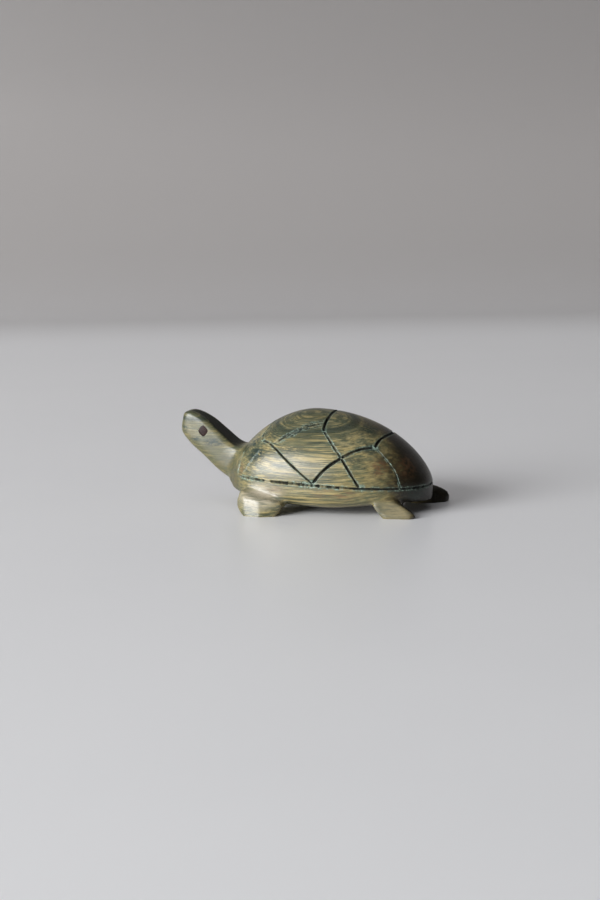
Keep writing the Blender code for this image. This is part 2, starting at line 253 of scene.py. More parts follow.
# How unevenly a line is cut: the fineness of each noise, and how far it changes the width or the depth. The
# noise of the fibres is stretched along the block.
WIDTH_WANDER = (0.55, 0.30)
WIDTH_GRAIN = (2.2, 0.45)
DEPTH_WANDER = (0.35, 0.40)
DEPTH_TEARING = (0.9, 0.8)
DEPTH_LIMITS = (0.15, 1.6)
FIBRE_STRETCH = (0.5, 1.0, 1.0)
# Where a line breaks off: the fineness and limits of the noise, and the depth and darkness that are left.
BREAK_FINENESS = 0.75
BREAK_EDGE = (-0.05, 0.12)
BROKEN_DEPTH = 0.35
BROKEN_DARKNESS = 0.15
# The ends of a line fade in, its section bellies out, and its bottom darkens from one depth to the next.
END_TAPER = (-0.2, 0.8)
CUT_POWER = 1.6
DARK_FROM = (0.12, 0.42)
# Beside a line: how wide its torn edge is, how much of that is even, and how far its fibres lift.
TORN_EDGE = 0.42
EVEN_TEARING = 0.25
FIBRE_LIFT = 0.05
# How far from a line its points are looked for, to split faces there and to cut it.
SPLIT_SEARCH = 3.0
CUT_SEARCH = 2.5
# How many points are measured at once.
CHUNK = 4000

# Chipped corners: place on the dome, radius of the chip, and how pale it is.
CHIPS = (
    (FRONT_NODE, 1.2, 0.8),
    (RIM_NODE, 2.0, 1.0),
    ((4.6, 1.0), 1.2, 0.9),
    (MIDDLE_NODE, 1.1, 0.8),
    (CROSSING, 0.8, 0.6),
    ((23.4, 0.5), 1.5, 1.0),
    (REAR_NODE, 1.4, 1.0),
    (RIM_NODE_LAST, 0.9, 0.8),
)
# How uneven a chip's edge is, where its full depth ends as a part of its radius, and how deep it is.
CHIP_STRETCH = (0.6, 1.0, 1.0)
CHIP_FINENESS = 1.7
CHIP_UNEVENNESS = 0.55
CHIP_MIDDLE = 0.35
CHIP_DEPTH = 0.16

# Eyes: pegs let into the flat sides of the head, a little squared.
EYE_X = -35.4
EYE_Z = 24.6
EYE_HALF_WIDTH = 1.66
EYE_HALF_HEIGHT = 1.86
EYE_POWER = 1.38
EYE_FACE_Y = 4.72
EYE_LENGTH = 1.6
# How far the middle of an eye's face bulges, how much its edge is rounded, and the sizes of the rows between.
EYE_CROWN = 0.10
EYE_EDGE_ROUNDING = 0.12
EYE_FACE_SIZES = (0.985, 0.95, 0.86, 0.70, 0.48, 0.22)
EYE_SEGMENTS = 64
# How much wider the socket is than the eye on each side, and how far out its cutter reaches.
SOCKET_GAP = 0.06
SOCKET_MOUTH_Y = 9.0


def rim_height(x):
    return RIM_HEIGHT + RIM_SLOPE * x


def shell_half_width(x):
    if x < SHELL_WIDEST_X:
        reach = (SHELL_WIDEST_X - x) / (SHELL_WIDEST_X - SHELL_FRONT_X)
        power = OUTLINE_POWER_FRONT
    else:
        reach = (x - SHELL_WIDEST_X) / (SHELL_REAR_X - SHELL_WIDEST_X)
        power = OUTLINE_POWER_REAR
    return SHELL_HALF_WIDTH * max(0.0, 1.0 - reach**power) ** (1.0 / power)


def dome_height(x):
    if x < DOME_TOP_X:
        reach = (DOME_TOP_X - x) / (DOME_TOP_X - SHELL_FRONT_X)
        power, fall = DOME_FRONT_POWERS
    else:
        reach = (x - DOME_TOP_X) / (SHELL_REAR_X - DOME_TOP_X)
        power, fall = DOME_REAR_POWERS
    return DOME_HEIGHT * max(0.0, 1.0 - reach**power) ** fall


def belly_depth(x):
    reach = (x - SHELL_FRONT_X) / (SHELL_REAR_X - SHELL_FRONT_X)
    return blend([(depth,) for depth in BELLY_DEPTHS], min(max(reach, 0.0), 1.0))[0]


def dome_point(x, angle, side):
    """The point of the dome at x and an angle up from the rim, on the side given."""
    turn = radians(angle)
    y = side * shell_half_width(x) * cos(turn)
    return Vector((x, y, rim_height(x) + dome_height(x) * sin(turn)))


def signed_power(value, power):
    return abs(value) ** power if value > 0 else -(abs(value) ** power)


def shell_place(t, across, up):
    """Where a point of the unit ball goes on the shell: t along X, across and up in its section."""
    middle = (SHELL_FRONT_X + SHELL_REAR_X) / 2
    x = middle + t * (SHELL_REAR_X - SHELL_FRONT_X) / 2
    if up >= 0:
        return Vector((x, shell_half_width(x) * across, rim_height(x) + dome_height(x) * up))
    power = 2.0 / BELLY_SECTION_POWER
    y = shell_half_width(x) * signed_power(across, power)
    return Vector((x, y, rim_height(x) - belly_depth(x) * abs(up) ** power))


def blend(stations, t):
    """The sections read at t, from 0 to 1, on a smooth curve through all of them."""
    place = t * (len(stations) - 1)
    first = min(int(place), len(stations) - 2)
    s = place - first
    before, start, end, after = (
        stations[min(max(first + k, 0), len(stations) - 1)] for k in (-1, 0, 1, 2)
    )
    values = []
    for p0, p1, p2, p3 in zip(before, start, end, after):
        bend = (p2 - p0) * s + (2 * p0 - 5 * p1 + 4 * p2 - p3) * s * s + (3 * p1 - p0 - 3 * p2 + p3) * s**3
        values.append(p1 + bend / 2)
    return values


def end_rounding(t, power):
    """How far a section has closed at t, from -1 to 1: a high power gives blunt ends."""
    return max(0.0, 1.0 - abs(t) ** power) ** (1.0 / power)


def neck_place(stations, top_power, under_power, end_power):
    """A place function for a part along X whose sections tilt as it rises, boxier on top than underneath."""

    def place(t, across, up):
        x, y, z, half_width, half_thickness, tilt = blend(stations, (1 - t) / 2)
        close = end_rounding(t, end_power)
        power = 2.0 / (top_power if up > 0 else under_power)
        width = half_width * close * signed_power(across, power)
        height = half_thickness * close * signed_power(up, power)
        lean = radians(tilt)
        return Vector((x + height * sin(lean), y + width, z + height * cos(lean)))

    return place


def stretched_ball(mesh, place, segments, rings):
    """A ball with its poles on the X axis, whose points are moved by place(t, across, up)."""
    made = bmesh.ops.create_uvsphere(
        mesh, u_segments=segments, v_segments=rings, radius=1.0, matrix=Matrix.Rotation(pi / 2, 4, "Y")
    )
    for vert in made["verts"]:
        t, across, up = vert.co
        ring = sqrt(max(0.0, 1.0 - min(1.0, t * t)))
        if ring > 1e-5:
            across, up = across / ring, up / ring
        vert.co = place(t, across, up) * MM


def cut_block(mesh, corners, side):
    """The block with flat faces that has these corners, on the side given."""
    verts = [mesh.verts.new(Vector((x, -side * y, z)) * MM) for x, y, z in corners]
    bmesh.ops.convex_hull(mesh, input=verts)
    loose = [vert for vert in verts if not vert.link_faces]
    bmesh.ops.delete(mesh, geom=loose, context="VERTS")


def mesh_object(name, mesh):
    data = bpy.data.meshes.new(name)
    mesh.to_mesh(data)
    mesh.free()
    thing = bpy.data.objects.new(name, data)
    bpy.context.scene.collection.objects.link(thing)
    return thing


def eye_outline(grow, turn):
    """A point of the eye's outline, seen from the side of the head."""
    x = (EYE_HALF_WIDTH + grow) * signed_power(cos(turn), 2.0 / EYE_POWER)
    z = (EYE_HALF_HEIGHT + grow) * signed_power(sin(turn), 2.0 / EYE_POWER)
    return EYE_X + x, EYE_Z + z


def eye_bar(name, side, grow, rows):
    """A bar across the head with the eye's outline. Each row is its distance from the middle and its size."""
    mesh = bmesh.new()
    rings = []
    for distance, size in rows:
        ring = []
        for k in range(EYE_SEGMENTS):
            x, z = eye_outline(grow, 2 * pi * k / EYE_SEGMENTS)
            x, z = EYE_X + (x - EYE_X) * size, EYE_Z + (z - EYE_Z) * size
            ring.append(mesh.verts.new(Vector((x, side * distance, z)) * MM))
        rings.append(ring)
    for inner, outer in zip(rings, rings[1:]):
        for k in range(EYE_SEGMENTS):
            following = (k + 1) % EYE_SEGMENTS
            mesh.faces.new((inner[k], inner[following], outer[following], outer[k]))
    mesh.faces.new(rings[0])
    mesh.faces.new(rings[-1])
    bmesh.ops.recalc_face_normals(mesh, faces=mesh.faces)
    return mesh_object(name, mesh)


def add_boolean(thing, name, operation, others):
    collection = bpy.data.collections.new(name)
    for other in others:
        collection.objects.link(other)
    modifier = thing.modifiers.new(name, "BOOLEAN")
    modifier.operation = operation
    modifier.solver = "EXACT"
    modifier.operand_type = "COLLECTION"
    modifier.collection = collection
    return collection


def rough_body():
    """The shell, chest, neck, head and legs in one mesh, still overlapping."""
    mesh = bmesh.new()
    stretched_ball(mesh, shell_place, 144, 112)
    stretched_ball(mesh, neck_place(CHEST, *CHEST_POWERS), 64, 48)
    stretched_ball(mesh, neck_place(NECK_AND_HEAD, *NECK_POWERS), 80, 80)
    cut_block(mesh, FRONT_LEG, LEFT)
    cut_block(mesh, FRONT_LEG, RIGHT)
    cut_block(mesh, LEFT_HIND_LEG, LEFT)
    cut_block(mesh, RIGHT_HIND_LEG, RIGHT)
    bmesh.ops.recalc_face_normals(mesh, faces=mesh.faces)
    return mesh_object("carving", mesh)


def sanded_body():
    """The joined and sanded carving with flat soles and open eye sockets, and no lines yet."""
    turtle = rough_body()
    grain = turtle.modifiers.new("even_grain", "REMESH")
    grain.mode = "VOXEL"
    grain.voxel_size = GRAIN_SIZE * MM
    sanding = turtle.modifiers.new("sanding", "SMOOTH")
    sanding.factor = SANDING_STRENGTH
    sanding.iterations = SANDING_PASSES
    slab = bmesh.new()
    size = Vector(FLOOR_SLAB) * MM
    below = Matrix.Translation((0.0, 0.0, -size.z / 2))
    bmesh.ops.create_cube(slab, size=1.0, matrix=below @ Matrix.Diagonal((*size, 1.0)))
    cutters = [mesh_object("floor_slab", slab)]
    for side in (LEFT, RIGHT):
        rows = ((EYE_FACE_Y - EYE_LENGTH, 1.0), (SOCKET_MOUTH_Y, 1.0))
        cutters.append(eye_bar("socket", side, SOCKET_GAP, rows))
    round_hollows(turtle)
    collection = add_boolean(turtle, "soles_and_sockets", "DIFFERENCE", cutters)
    data = evaluated_mesh(turtle)
    bpy.data.collections.remove(collection)
    for thing in [turtle] + cutters:
        bpy.data.objects.remove(thing)
    return data


def evaluated_mesh(thing):
    depsgraph = bpy.context.evaluated_depsgraph_get()
    return bpy.data.meshes.new_from_object(thing.evaluated_get(depsgraph))


def round_hollows(thing):
    """Applies the modifiers, then fills the hollows a little at a time and leaves the outer edges crisp."""
    data = evaluated_mesh(thing)
    thing.modifiers.clear()
    thing.data = data
    count = len(data.vertices)
    places = read_vectors(data.vertices, "co")
    ends = np.empty(len(data.edges) * 2, dtype=np.int32)
    data.edges.foreach_get("vertices", ends)
    first, second = ends[0::2], ends[1::2]
    neighbours = np.bincount(first, minlength=count) + np.bincount(second, minlength=count)
    normals = read_vectors(data.vertex_normals, "vector")
    rate = HOLLOW_STRENGTH * soft_step(places[:, 2] / MM, *HOLLOW_HEIGHTS)
    for _ in range(HOLLOW_PASSES):
        pull = np.empty_like(places)
        for k in range(3):
            total = np.bincount(first, places[second, k], count)
            total = total + np.bincount(second, places[first, k], count)
            pull[:, k] = total / neighbours - places[:, k]
        outward = np.einsum("ij,ij->i", pull, normals)
        places += normals * (rate * np.maximum(outward, 0.0))[:, None]
    data.vertices.foreach_set("co", places.reshape(-1))
    data.update()


def read_vectors(items, name):
    flat = np.empty(len(items) * 3)
    items.foreach_get(name, flat)
    return flat.reshape(-1, 3).copy()


def keep_values(data, name, values):
    """Keeps one number for each point of the mesh, for the material to read."""
    data.attributes.new(name, "FLOAT", "POINT").data.foreach_set("value", values)


def resample(points):
    """A polyline with one point every LINE_STEP."""
    points = np.array([tuple(p) for p in points])
    lengths = np.concatenate(([0.0], np.cumsum(np.linalg.norm(np.diff(points, axis=0), axis=1))))
    places = np.linspace(0.0, lengths[-1], max(2, int(lengths[-1] / LINE_STEP) + 1))
    return np.stack([np.interp(places, lengths, points[:, k]) for k in range(3)], axis=1)


def dome_line(points, side):
    count = (len(points) - 1) * SPAN_STEPS
    return resample([dome_point(*blend(points, k / count), side) for k in range(count + 1)])


def ridge_line(points):
    mirrored = [(x, 180.0 - angle) for x, angle in reversed(points[:-1])]
    return dome_line(list(points) + mirrored, LEFT)


def rim_line(start_x, end_x, side):
    """The rim on one side between two places along the shell, closer together where it turns at the rear."""
    first, last = (sqrt(max(0.0, SHELL_REAR_X - x)) for x in (start_x, end_x))
    places = []
    for k in range(RIM_STATIONS + 1):
        x = SHELL_REAR_X - (first + (last - first) * k / RIM_STATIONS) ** 2
        places.append((x, side * shell_half_width(x), rim_height(x)))
    return resample(places)


def all_lines():
    """Every cut line: its points, and the hand that it was cut with."""
    lines = [(ridge_line(points), hand) for points, hand in CROSS_LINES]
    for side in (LEFT, RIGHT):
        lines += [(dome_line(points, side), hand) for points, hand in SIDE_LINES]
        lines += [(rim_line(start, end, side), hand) for start, end, hand in RIM_CUTS]
    return lines


def distances(places, line):
    """For each place: its distance from the line, and how far along the line that is."""
    start = line[:-1]
    step = np.diff(line, axis=0)
    length = np.linalg.norm(step, axis=1)
    along_start = np.concatenate(([0.0], np.cumsum(length)))[:-1]
    best = np.full(len(places), np.inf)
    along = np.zeros(len(places))
    for first in range(0, len(places), CHUNK):
        chunk = places[first : first + CHUNK]
        offset = chunk[:, None, :] - start[None, :, :]
        t = np.clip(np.einsum("ijk,jk->ij", offset, step) / length**2, 0.0, 1.0)
        gap = np.linalg.norm(offset - t[:, :, None] * step[None, :, :], axis=2)
        nearest = gap.argmin(axis=1)
        row = np.arange(len(chunk))
        best[first : first + CHUNK] = gap[row, nearest]
        along[first : first + CHUNK] = along_start[nearest] + t[row, nearest] * length[nearest]
    return best, along


def near_box(places, line, reach):
    low = line.min(axis=0) - reach
    high = line.max(axis=0) + reach
    return np.nonzero(np.all((places > low) & (places < high), axis=1))[0]


def line_gap(places, lines):
    """The distance in millimetres from each place to the nearest line."""
    gap = np.full(len(places), np.inf)
    for line, _ in lines:
        near = near_box(places, line, SPLIT_SEARCH)
        if len(near):
            gap[near] = np.minimum(gap[near], distances(places[near], line)[0])
    return gap


def split_near_lines(data, lines):
    """Splits the faces beside the lines, in two rounds, so that the cuts can be carved finely."""
    mesh = bmesh.new()
    mesh.from_mesh(data)
    for reach in SPLIT_REACHES:
        middles = np.array([tuple(face.calc_center_median()) for face in mesh.faces]) / MM
        gap = line_gap(middles, lines)
        edges = set()
        for face, distance in zip(mesh.faces, gap):
            if distance < reach and len(face.verts) <= 4:
                edges.update(face.edges)
        edges = sorted(edges, key=lambda edge: edge.index)
        bmesh.ops.subdivide_edges(mesh, edges=edges, cuts=1, use_grid_fill=True)
    mesh.to_mesh(data)
    mesh.free()


def soft_step(value, low, high):
    t = np.clip((value - low) / (high - low), 0.0, 1.0)
    return t * t * (3.0 - 2.0 * t)


def rough(places, scale, seed):
    """Smooth noise from -1 to 1 at each place, with features of about 1 / scale millimetres."""
    shift = Vector((seed * 17.3, seed * 5.1, seed * 9.7))
    return np.array([noise.noise(Vector(p) * scale + shift) for p in places])


def along_noise(along, scale, seed):
    return np.array([noise.noise(Vector((s * scale, seed * 7.7, seed * 3.3))) for s in along])


class Carving:
    """The surface of the wood while its lines are cut: its points, and what the tool has done at each."""

    def __init__(self, data):
        self.places = read_vectors(data.vertices, "co") / MM
        self.normals = read_vectors(data.vertex_normals, "vector")
        count = len(self.places)
        self.done = {name: np.zeros(count) for name in ("depth", "lift", "dark_line", "torn_edge")}

    def raise_to(self, name, near, values):
        done = self.done[name]
        done[near] = np.maximum(done[near], values)

    def cut_line(self, number, line, hand):
        half_width, depth, darkness, paleness, roughness, breaks = hand
        near = near_box(self.places, line, CUT_SEARCH)
        gap, along = distances(self.places[near], line)
        close = gap < half_width * 1.5 + 0.9
        near, gap, along = near[close], gap[close], along[close]
        spots = self.places[near]
        # The seed of each noise is the line's number, moved on by a step of its own.
        grain = rough(spots * FIBRE_STRETCH, WIDTH_GRAIN[0], number)
        coarse = rough(spots, DEPTH_TEARING[0], number + 40)
        wander = along_noise(along, WIDTH_WANDER[0], number)
        width = half_width * (1.0 + WIDTH_WANDER[1] * wander + WIDTH_GRAIN[1] * roughness * grain)
        strength = 1.0 + DEPTH_WANDER[1] * along_noise(along, DEPTH_WANDER[0], number + 20)
        strength += roughness * DEPTH_TEARING[1] * coarse
        whole = 1.0 - breaks * soft_step(along_noise(along, BREAK_FINENESS, number + 80), *BREAK_EDGE)
        ends = soft_step(along, *END_TAPER) * soft_step(along.max() - along, *END_TAPER)
        shallow = RIDGE_DEPTH + (1.0 - RIDGE_DEPTH) * soft_step(np.abs(spots[:, 1]), *RIDGE_REACH)
        cut = np.clip(1.0 - (gap / width) ** CUT_POWER, 0.0, 1.0) * np.clip(strength, *DEPTH_LIMITS) * ends
        cut *= BROKEN_DEPTH + (1.0 - BROKEN_DEPTH) * whole
        self.raise_to("depth", near, depth * cut * shallow)
        bottom = soft_step(cut, *DARK_FROM) * np.clip(strength, 0.0, 1.0)
        bottom *= BROKEN_DARKNESS + (1.0 - BROKEN_DARKNESS) * whole
        self.raise_to("dark_line", near, darkness * bottom)
        outside = width + TORN_EDGE * min(1.0, half_width / CLEAN_CUT[0]) * (1.0 + coarse)
        edge = soft_step(gap, width * 0.45, width * 0.9) * (1.0 - soft_step(gap, width, outside))
        edge = np.maximum(edge, (1.0 - whole) * (1.0 - soft_step(gap, width * 0.5, outside)))
        patchy = soft_step(grain * 0.6 + coarse * 0.7, -0.25, 0.25)
        torn = EVEN_TEARING + (1.0 - EVEN_TEARING) * patchy
        self.raise_to("torn_edge", near, paleness * edge * torn * ends)
        self.raise_to("lift", near, FIBRE_LIFT * edge * patchy * paleness)

    def chip_corner(self, number, side, node, radius, paleness):
        gap = np.linalg.norm(self.places - np.array(dome_point(*node, side)), axis=1)
        near = np.nonzero(gap < radius * 1.6)[0]
        grain = rough(self.places[near] * CHIP_STRETCH, CHIP_FINENESS, number + 60 + 10 * side)
        size = radius * (1.0 + CHIP_UNEVENNESS * grain)
        chip = 1.0 - soft_step(gap[near], size * CHIP_MIDDLE, size)
        self.raise_to("depth", near, CHIP_DEPTH * chip * (1.0 + 0.8 * grain))
        self.raise_to("torn_edge", near, paleness * chip)


def carve_lines(data, lines):
    """Cuts every line into the surface, and keeps how dark and how torn the wood is there."""
    carving = Carving(data)
    for number, (line, hand) in enumerate(lines):
        carving.cut_line(number, line, hand)
    for side in (LEFT, RIGHT):
        for number, chip in enumerate(CHIPS):
            carving.chip_corner(number, side, *chip)
    outward = carving.done["lift"] - carving.done["depth"]
    places = carving.places + carving.normals * outward[:, None]
    data.vertices.foreach_set("co", (places * MM).reshape(-1))
    for name in ("dark_line", "torn_edge"):
        keep_values(data, name, carving.done[name])
    data.update()


class Shading:
    """Short names for the shader nodes that the materials are made of."""

    def __init__(self, name):
        self.material = bpy.data.materials.new(name)
        self.material.use_nodes = True
        self.tree = self.material.node_tree
        self.shader = self.tree.nodes["Principled BSDF"]

    def put(self, node, socket, value):
        if isinstance(value, bpy.types.NodeSocket):
            self.tree.links.new(value, node.inputs[socket])
        elif value is not None:
            node.inputs[socket].default_value = value

    def node(self, kind, **settings):
        node = self.tree.nodes.new(kind)
        for key, value in settings.items():
            setattr(node, key, value)
        return node

    def place(self):
        """The place on the object, in millimetres."""
        return self.scaled(self.node("ShaderNodeTexCoord").outputs["Object"], (1.0 / MM,) * 3)

    def maths(self, operation, a, b=None, clamp=False):
        node = self.node("ShaderNodeMath", operation=operation, use_clamp=clamp)
        self.put(node, 0, a)
        self.put(node, 1, b)
        return node.outputs[0]

    def plus(self, total, *others):
        for other in others:
            total = self.maths("ADD", total, other)
        return total

    def minus(self, a, b):
        return self.maths("SUBTRACT", a, b)

    def times(self, a, b, clamp=False):
        return self.maths("MULTIPLY", a, b, clamp)

    def scaled(self, vector, scale):
        node = self.node("ShaderNodeVectorMath", operation="MULTIPLY")
        self.put(node, 0, vector)
        self.put(node, 1, scale)
        return node.outputs[0]

    def combine(self, x, y, z):
        node = self.node("ShaderNodeCombineXYZ")
        for k, value in enumerate((x, y, z)):
            self.put(node, k, value)
        return node.outputs[0]

    def split(self, vector):
        node = self.node("ShaderNodeSeparateXYZ")
        self.put(node, 0, vector)
        return node.outputs[:3]

    def noise(self, vector, fineness, detail, roughness=0.5):
        """Noise with this many features in each unit along X, Y and Z."""
        node = self.node("ShaderNodeTexNoise")
        self.put(node, "Vector", self.scaled(vector, fineness))
        self.put(node, "Scale", 1.0)
        self.put(node, "Detail", detail)
        self.put(node, "Roughness", roughness)
        return node.outputs["Fac"]

    def spread(self, value, low, high, to_low=0.0, to_high=1.0):
        node = self.node("ShaderNodeMapRange", interpolation_type="SMOOTHSTEP")
        for key, given in enumerate((value, low, high, to_low, to_high)):
            self.put(node, key, given)
        return node.outputs[0]

    def mix(self, factor, a, b):
        node = self.node("ShaderNodeMix", data_type="RGBA")
        self.put(node, "Factor", factor)
        self.put(node, 6, a)
        self.put(node, 7, b)
        return node.outputs[2]

    def tinted(self, wood, amount, strength, tint):
        """The wood under a tint that covers it by an amount from 0 to 1 times a strength."""
        return self.mix(self.times(amount, strength), wood, tint)

    def attribute(self, name):
        return self.node("ShaderNodeAttribute", attribute_name=name).outputs["Fac"]

    def bump(self, height, strength, distance):
        node = self.node("ShaderNodeBump")
        self.put(node, "Height", height)
        self.put(node, "Strength", strength)
        self.put(node, "Distance", distance)
        return node.outputs[0]


def colour(red, green, blue):
    """A linear colour from sRGB values of 0 to 255."""
    values = []
    for part in (red, green, blue):
        part /= 255.0
        values.append(part / 12.92 if part <= 0.04045 else ((part + 0.055) / 1.055) ** 2.4)
    return (*values, 1.0)


# Growth layers of the block lean to the left: z, less these parts of x and y, is the same in a layer.
LAYER_LEAN_X = 0.018
LAYER_LEAN_Y = 0.284
# One layer shows as a dark oval round the top of the dome.
RING_LAYER = 30.45
RING_HALF_THICKNESS = 0.42

# Cloudy patches in the wood: place, reach along each axis, and strength.
PATCHES = {
    "green_patch": (
        ((-13.4, -15.5, 19.2), (4.5, 4.5, 3.2), 0.85),
        ((-18.5, -9.5, 20.4), (3.0, 5.0, 3.0), 0.60),
        ((-9.7, -11.6, 25.4), (5.0, 4.0, 2.5), 0.60),
        ((-0.5, -17.4, 21.6), (7.0, 3.0, 1.4), 0.55),
        ((22.9, -6.1, 27.1), (4.0, 4.5, 2.5), 0.75),
        ((20.5, -16.0, 18.5), (3.0, 4.0, 1.3), 0.60),
        ((25.3, -13.0, 21.7), (4.5, 4.0, 1.8), 0.75),
        ((-31.5, -5.0, 20.8), (3.8, 2.0, 1.7), 1.00),
        ((-38.4, -5.0, 21.8), (2.0, 2.0, 0.7), 1.00),
        ((-42.0, -3.0, 25.5), (1.6, 2.5, 1.4), 0.70),
        ((38.5, -8.0, 7.0), (5.0, 6.0, 3.0), 0.60),
        ((-22.0, -11.0, 12.0), (4.0, 4.0, 4.0), 0.45),
        ((35.5, -17.5, 2.5), (2.5, 3.0, 1.6), 0.60),
        ((12.0, 15.0, 20.0), (9.0, 5.0, 2.0), 0.70),
        ((-14.0, 12.0, 21.0), (5.0, 5.0, 3.0), 0.60),
        ((30.0, 11.0, 19.0), (5.0, 4.0, 3.0), 0.60),
        ((-33.0, 5.0, 23.0), (4.0, 2.0, 1.4), 0.80),
        ((-16.0, -12.5, 22.5), (3.0, 4.0, 2.6), 0.90),
        ((-26.0, -6.0, 16.0), (4.0, 3.0, 2.0), 0.45),
        ((10.0, -18.5, 13.5), (8.0, 4.0, 1.2), 0.45),
    ),
    "tan_patch": (
        ((34.5, -18.5, 2.5), (7.0, 4.0, 4.5), 0.85),
        ((-40.0, -4.5, 23.5), (2.6, 2.0, 1.6), 0.45),
        ((-40.5, 4.5, 23.5), (2.6, 2.0, 1.6), 0.45),
    ),
    # Browner wood where the neck and chest leave the shell, and at the front edge of a hind leg.
    "brown_patch": (
        ((-22.0, -10.0, 9.5), (5.5, 6.0, 5.0), 0.95),
        ((-27.0, -6.0, 14.5), (4.5, 4.0, 3.5), 0.75),
        ((-33.0, -5.0, 18.5), (4.5, 3.0, 1.8), 0.35),
        ((28.3, -18.6, 2.6), (2.0, 3.0, 3.2), 1.00),
        ((-22.0, 10.0, 9.5), (5.5, 6.0, 5.0), 0.80),
        ((-27.0, 6.0, 14.5), (4.5, 4.0, 3.5), 0.60),
    ),
    # Paler wood with a painted sheen, whitish, on the front legs and along the lower side of the shell.
    "pale_wood_and_painted_sheen": (
        ((-10.5, -21.5, 6.5), (8.5, 6.0, 5.0), 0.85),
        ((-10.5, 22.5, 5.0), (8.5, 5.5, 6.0), 0.70),
        ((0.0, -18.0, 14.5), (12.0, 4.0, 3.0), 0.25),
    ),
    "red_patch": (
        ((15.0, -19.0, 7.5), (9.0, 4.0, 2.2), 0.60),
        ((28.5, -16.5, 16.0), (3.0, 5.0, 3.0), 0.60),
        ((-6.0, -19.5, 8.0), (4.0, 4.0, 2.0), 0.45),
        ((36.0, -9.0, 16.0), (3.5, 6.0, 5.0), 0.45),
        ((-19.0, -14.0, 14.0), (1.8, 4.0, 2.4), 0.55),
        ((20.0, 18.0, 8.0), (9.0, 4.0, 2.5), 0.50),
    ),
}
# Where a patch starts to thin out and where it ends, as parts of its reach.
PATCH_EDGE = (0.35, 1.25)

# Painted shade on the flat along the top of the head and neck, which faces up and back, away from the window:
# the way it faces and how nearly, where it ends, its reach to each side at the head and what the neck adds,
# where it widens, and how soft its edges are.
CROWN_WAY = (0.52, 0.0, 0.854)
CROWN_FACING = (0.80, 0.93)
CROWN_END_X = (-25.0, -21.0)
CROWN_REACHES = (1.6, 3.2)
CROWN_WIDENS_X = (-39.0, -28.0)
CROWN_EDGE = 0.6


def cloud_patches(data):
    """Keeps how far each point is inside the patches of each tint, in the painted shade of the crown, and on
    end grain.
    """
    places = read_vectors(data.vertices, "co") / MM
    normals = read_vectors(data.vertices, "normal")
    for name, patches in PATCHES.items():
        inside = np.zeros(len(places))
        for middle, reach, strength in patches:
            gap = np.linalg.norm((places - middle) / reach, axis=1)
            inside = np.maximum(inside, strength * (1.0 - soft_step(gap, *PATCH_EDGE)))
        keep_values(data, name, inside)
    # Painted shade: points whose faces turn up and back, away from the window, on the head and neck.
    crown = soft_step(normals @ np.array(CROWN_WAY), *CROWN_FACING)
    crown *= 1.0 - soft_step(places[:, 0], *CROWN_END_X)
    reach = CROWN_REACHES[0] + CROWN_REACHES[1] * soft_step(places[:, 0], *CROWN_WIDENS_X)
    crown *= 1.0 - soft_step(np.abs(places[:, 1]), reach, reach + CROWN_EDGE)
    keep_values(data, "painted_shade_crown", crown)
    keep_values(data, "end_grain", np.abs(normals[:, 0]))


# The noises of the wood: how fine each is along X, Y and Z, its detail and its roughness. The first are read
# in millimetres on the object, and those of the grain along and across the layers of the block.
WOOD_NOISES = {
    "slow": ((0.025, 0.06, 0.06), 2.0, 0.5),
    "fine": ((0.10, 0.40, 0.40), 2.0, 0.5),
    "blotches": ((0.25, 0.40, 0.40), 3.0, 0.6),
    "mottles": ((0.55, 1.3, 1.3), 3.0, 0.65),
    "flecks": ((0.16, 0.8, 1.1), 3.0, 0.65),
    "fibres": ((0.45, 6.0, 6.0), 2.0, 0.6),
    "pores": ((0.7, 8.0, 8.0), 1.0, 0.5),
    "speckle": ((1.6, 3.2, 3.2), 2.0, 0.7),
}
GRAIN_NOISES = {
    "broad": ((0.9, 0.10, 0.18), 2.0, 0.5),
    "bands": ((1.0, 0.20, 0.50), 2.0, 0.6),
    "lines": ((1.3, 0.45, 1.30), 3.0, 0.65),
    "threads": ((2.2, 0.9, 3.2), 2.0, 0.6),
    "hairs": ((3.0, 0.8, 2.4), 1.0, 0.5),
}
RING_NOISE = ((0.02, 2.6, 1.0), 2.0, 0.6)
# How far the grain wanders in millimetres, slowly and finely, and how much of that the growth rings follow.
SLOW_DRIFT = 3.2
FINE_DRIFT = 0.7
MEAN_DRIFT = 1.95
RING_DRIFT = 0.35
GRAIN_STRETCH = 0.035

# Streaks: the noise each comes from, the values between which it sets in, how strong it is, and its tint.
GREY_GREEN = colour(66, 74, 56)
STREAKS = (
    ("lines", (0.49, 0.61), 0.74, colour(168, 150, 98)),
    ("lines", (0.47, 0.37), 0.75, GREY_GREEN),
    ("threads", (0.52, 0.61), 0.55, colour(166, 152, 108)),
    ("threads", (0.47, 0.38), 0.65, colour(42, 48, 34)),
)
HAIRS = ("hairs", (0.60, 0.66), 0.55, GREY_GREEN)
# Streaks are weaker where the surface faces along the block, and where it turns brown towards the rear.
END_GRAIN_FADE = (0.80, 0.35, 0.30, 1.0)
REAR_FADE = (10.0, 28.0, 1.0, 0.60)

# Heartwood and painted shade at the rear: where along the block it turns brown and then nearly black, how far
# its border wavers, and how much farther forward it comes for each millimetre of height above a level.
BROWN_REAR_X = (23.0, 36.0)
BLACK_REAR_X = (26.5, 34.5)
REAR_SLOW_WAVER = 30.0
REAR_FINE_WAVER = 12.0
REAR_LEAN = 0.80
REAR_LOWEST = 11.5
REAR_LEVEL = 19.0

# The wood of each kind of patch: the two colours that its flecks mix.
PATCH_WOODS = (
    ("tan_patch", colour(130, 118, 84), colour(98, 92, 66)),
    ("brown_patch", colour(98, 88, 56), colour(62, 66, 46)),
    # Pale wood with a painted sheen: whitish where the front legs and side catch the window.
    ("pale_wood_and_painted_sheen", colour(180, 170, 150), colour(146, 141, 122)),
)

# How rough the polish is, and how much rougher where the wood is each of these.
POLISH = 0.22
DULLER = (("tan_patch", 0.22), ("brown_patch", 0.20), ("painted_shade_crown", 0.35))
DULL_CUT = 0.7


